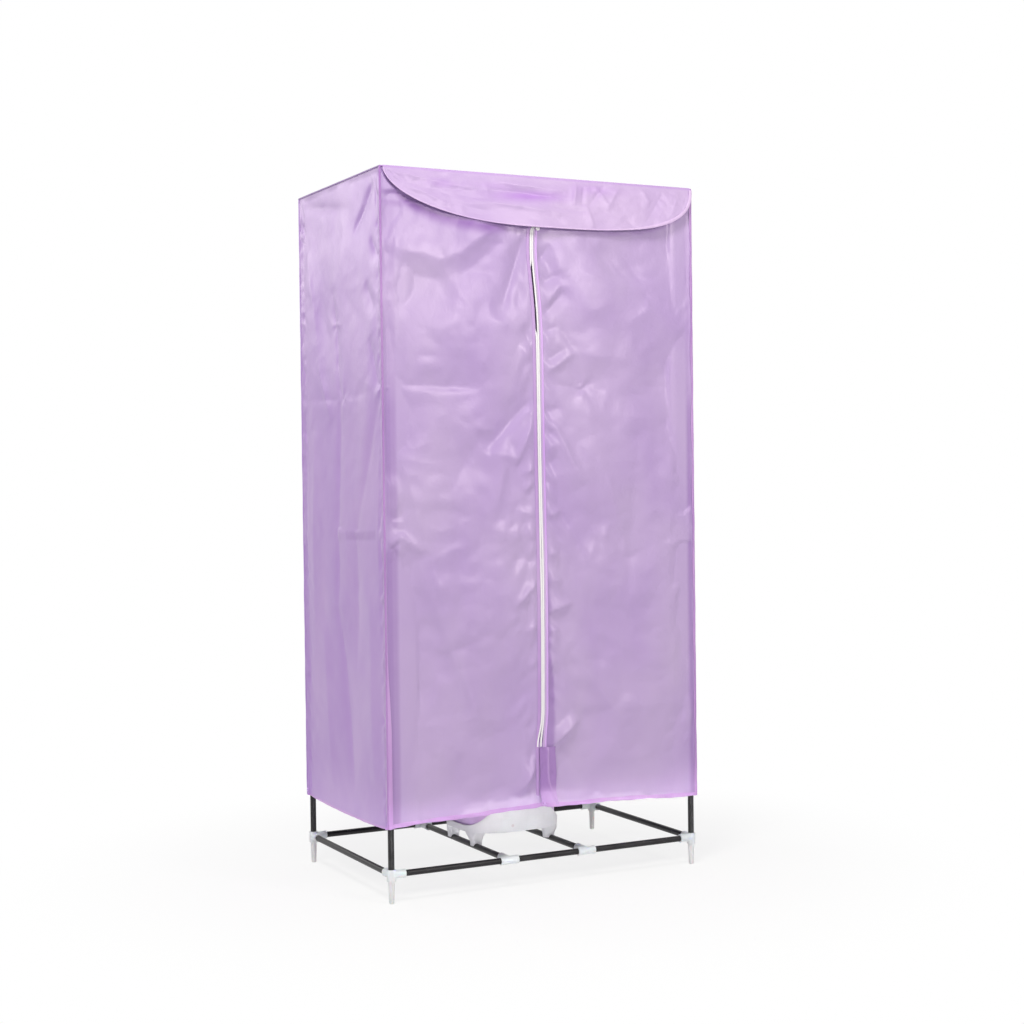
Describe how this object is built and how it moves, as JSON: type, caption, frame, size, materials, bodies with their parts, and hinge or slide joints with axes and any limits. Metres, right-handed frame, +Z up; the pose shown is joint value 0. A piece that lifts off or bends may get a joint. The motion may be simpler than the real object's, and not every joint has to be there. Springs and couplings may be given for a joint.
{
  "type": "fabric drying cabinet",
  "caption": "Fabric cover with a zipped front over a plugged tube frame with hanging rods, and a fan heater on the base ring.",
  "frame": {"origin": "centre of the frame's footprint, on the floor", "axes": "+Z up, -Y towards the zipped front, +X to the right seen from the front"},
  "size_m": [0.7504, 0.4947, 1.5002],
  "materials": {
    "black_tube": "satin black paint on steel tube",
    "white_connector": "moulded white plastic, slight gloss",
    "lilac_cloth": "coated polyester, satin sheen, fold marks",
    "piping": "bound seam piping, brighter violet",
    "zip_tape": "woven tape with a moulded coil",
    "zip_slider": "white coated slider",
    "heater_white": "moulded white plastic",
    "heater_lilac": "moulded lilac plastic",
    "bare_metal": "bare",
    "black_plastic": "matt",
    "lamp_lens": "translucent"
  },
  "bodies": {
    "frame": {"corner_foot_front_left": "white_connector", "corner_foot_front_right": "white_connector", "corner_foot_back_left": "white_connector", "corner_foot_back_right": "white_connector", "bottom_rail_front": "black_tube", "bottom_rail_back": "black_tube", "bottom_rail_left": "black_tube", "bottom_rail_right": "black_tube", "heater_bar_left": "black_tube", "heater_bar_right": "black_tube", "rail_tees": "white_connector", "lower_post_front_left": "black_tube", "lower_post_front_right": "black_tube", "lower_post_back_left": "black_tube", "lower_post_back_right": "black_tube", "mid_joint_front_left": "white_connector", "mid_joint_front_right": "white_connector", "mid_joint_back_left": "white_connector", "mid_joint_back_right": "white_connector", "upper_post_front_left": "black_tube", "upper_post_front_right": "black_tube", "upper_post_back_left": "black_tube", "upper_post_back_right": "black_tube", "mid_rail_left": "black_tube", "mid_rail_right": "black_tube", "mid_hanging_rod": "black_tube", "top_corner_front_left": "white_connector", "top_corner_front_right": "white_connector", "top_corner_back_left": "white_connector", "top_corner_back_right": "white_connector", "top_rail_front": "black_tube", "top_rail_back": "black_tube", "top_rail_left": "black_tube", "top_rail_right": "black_tube", "top_hanging_rod": "black_tube", "cover_roof": "lilac_cloth", "cover_left_panel": "lilac_cloth", "cover_right_panel": "lilac_cloth", "cover_back_panel": "lilac_cloth", "cover_front_left_panel": "lilac_cloth", "cover_front_right_panel": "lilac_cloth", "edge_piping": "piping", "heater_base": "heater_white", "heater_housing": "heater_lilac", "outlet_grille": "heater_white", "intake_grille": "heater_white", "housing_screws": "bare_metal", "fan_motor": "bare_metal", "motor_bracket": "bare_metal", "heating_element": "bare_metal", "timer_unit": "black_plastic", "indicator_lens": "lamp_lens", "cord_gland": "black_plastic"},
    "zip_edge_left": {"zip_left": "zip_tape"},
    "zip_edge_right": {"zip_right": "zip_tape"},
    "slider": {"zip_slider": "zip_slider"},
    "pull": {"zip_pull": "zip_slider"},
    "flap": {"front_flap": "lilac_cloth"},
    "fan": {"fan_impeller": "black_plastic"},
    "knob": {"timer_knob": "heater_white"}
  },
  "joints": [
    {"name": "door_left_draw", "type": "slide", "parent": "frame", "child": "zip_edge_left", "axis": [-1, 0, 0], "range_m": [0, 0.27], "deforming": ["cover_front_left_panel"]},
    {"name": "door_right_draw", "type": "slide", "parent": "frame", "child": "zip_edge_right", "axis": [1, 0, 0], "range_m": [0, 0.27], "deforming": ["cover_front_right_panel"]},
    {"name": "zip_travel", "type": "slide", "parent": "zip_edge_right", "child": "slider", "axis": [0, 0, -1], "range_m": [0, 1.1]},
    {"name": "pull_swing", "type": "hinge", "parent": "slider", "child": "pull", "pos_m": [-0.015, -0.2426, 1.42], "axis": [-1, 0, 0], "range_deg": [0, 12]},
    {"name": "flap_lift", "type": "hinge", "parent": "frame", "child": "flap", "pos_m": [0, -0.241, 1.5005], "axis": [-1, 0, 0], "range_deg": [0, 240]},
    {"name": "fan_spin", "type": "hinge", "parent": "frame", "child": "fan", "pos_m": [0, 0, 0.14], "axis": [0, 0, 1], "continuous": true},
    {"name": "timer_turn", "type": "hinge", "parent": "frame", "child": "knob", "pos_m": [0.008, -0.12, 0.168], "axis": [0, 1, 0], "range_deg": [0, 300]}
  ]
}
